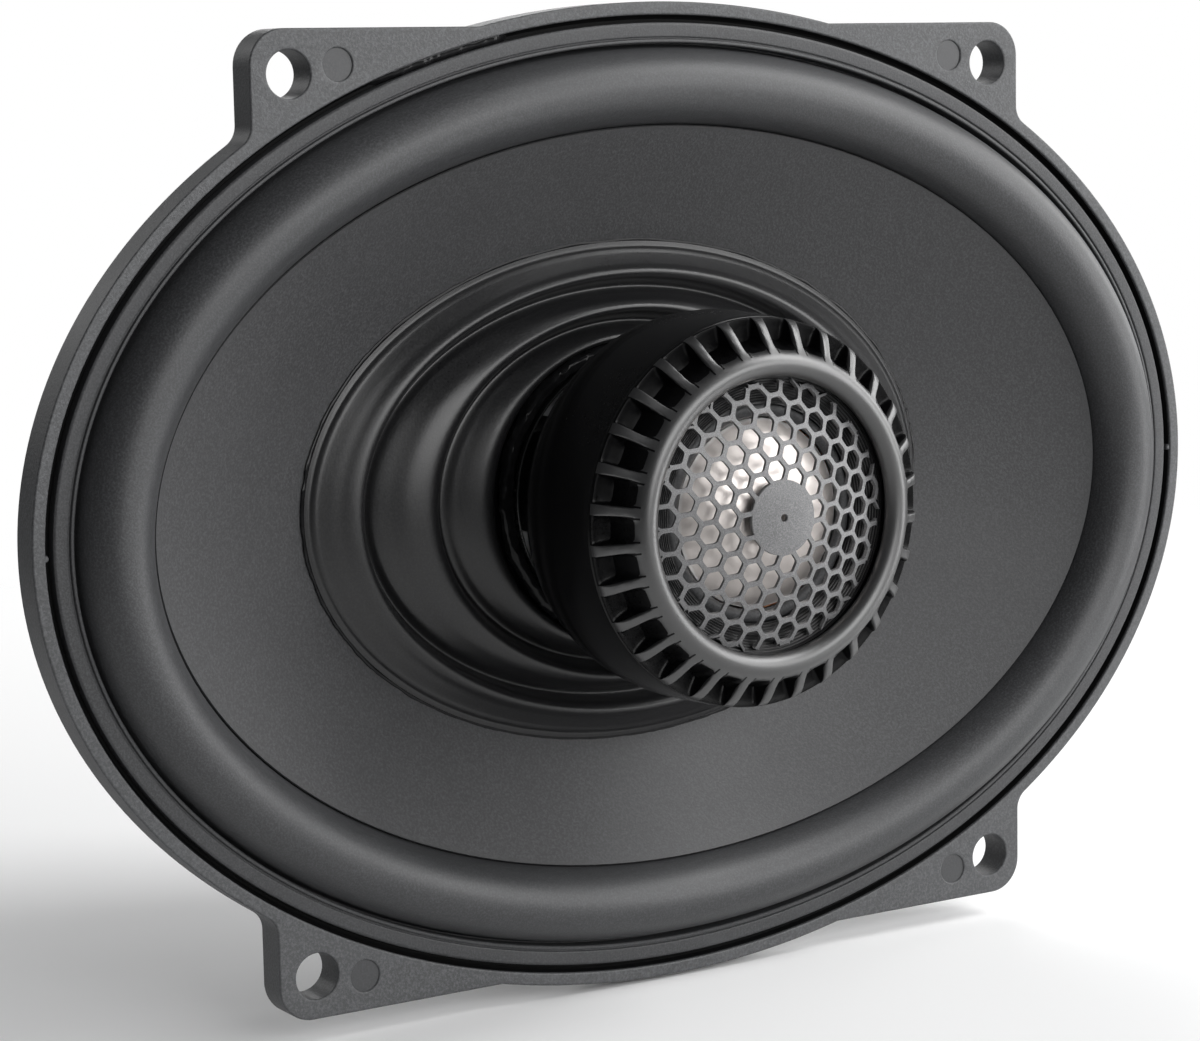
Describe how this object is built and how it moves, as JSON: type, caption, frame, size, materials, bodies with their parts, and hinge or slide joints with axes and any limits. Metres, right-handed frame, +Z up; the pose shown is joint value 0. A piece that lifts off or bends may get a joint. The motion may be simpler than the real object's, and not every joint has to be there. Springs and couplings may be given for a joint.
{
  "type": "coaxial car speaker",
  "caption": "Oval car loudspeaker with corrugated cone and a dome tweeter in a finned pod held over the cone; screws to a panel by four ears.",
  "frame": {"origin": "middle of the plane that the flange's back rests on", "axes": "+X right as the listener sees it, +Y back through the panel, +Z up"},
  "size_m": [0.184, 0.0944, 0.1332],
  "materials": {
    "basket_plastic": "fine grain, charcoal",
    "ring_plastic": "satin",
    "surround_rubber": "matte",
    "cone_pulp": "matte, fine grain",
    "centre_pulp": "satin",
    "glue": "wet gloss",
    "former_sheet": "satin amber",
    "copper_winding": "lacquered wire",
    "spider_cloth": "resin-treated cloth",
    "steel": "zinc plated",
    "ferrite": "matte ferrite",
    "neodymium": "nickel plated",
    "board": "pressed fibre board",
    "tinned_brass": "tinned",
    "capacitor_sleeve": "gloss sleeve",
    "post_plastic": "satin",
    "lead_red": "insulation",
    "lead_black": "insulation",
    "pod_plastic": "semi gloss",
    "bezel_plastic": "satin",
    "screen_steel": "satin",
    "waveguide_plastic": "fine ribs",
    "dome_metal": "vapour-coated",
    "tweeter_former": "plain",
    "felt": "felt"
  },
  "bodies": {
    "speaker_body": {"basket": "basket_plastic", "trim_ring": "ring_plastic", "surround": "surround_rubber", "spider": "spider_cloth", "tinsel_lead_a": "copper_winding", "tinsel_lead_b": "copper_winding", "top_plate": "steel", "magnet": "ferrite", "yoke": "steel", "basket_rivet_1": "steel", "basket_rivet_2": "steel", "basket_rivet_3": "steel", "basket_rivet_4": "steel", "terminal_board": "board", "terminal_positive": "tinned_brass", "terminal_negative": "tinned_brass", "terminal_rivet_a": "tinned_brass", "terminal_rivet_b": "tinned_brass", "crossover_capacitor": "capacitor_sleeve", "tweeter_post": "post_plastic", "post_washer": "steel", "post_nut": "steel", "tweeter_lead_a": "lead_red", "tweeter_lead_b": "lead_black", "tweeter_housing": "pod_plastic", "tweeter_bezel": "bezel_plastic", "tweeter_grille": "screen_steel", "tweeter_waveguide": "waveguide_plastic", "tweeter_dome_surround": "surround_rubber", "tweeter_top_plate": "steel", "tweeter_magnet": "neodymium", "tweeter_cup": "steel", "tweeter_damping_pad": "felt"},
    "cone_assembly": {"cone": "cone_pulp", "corrugated_centre": "centre_pulp", "neck_adhesive": "glue", "coil_former": "former_sheet", "voice_coil": "copper_winding"},
    "tweeter_diaphragm": {"tweeter_dome": "dome_metal", "tweeter_coil_former": "tweeter_former", "tweeter_voice_coil": "copper_winding"}
  },
  "joints": [
    {"name": "cone_travel", "type": "slide", "parent": "speaker_body", "child": "cone_assembly", "axis": [0, -1, 0], "range_m": [-0.004, 0.004], "stiffness_N_per_m": 1800, "deforming": ["surround", "spider", "tinsel_lead_a", "tinsel_lead_b"]},
    {"name": "tweeter_travel", "type": "slide", "parent": "speaker_body", "child": "tweeter_diaphragm", "axis": [0, -1, 0], "range_m": [-0.0003, 0.0003], "stiffness_N_per_m": 1000, "deforming": ["tweeter_dome_surround"]}
  ]
}
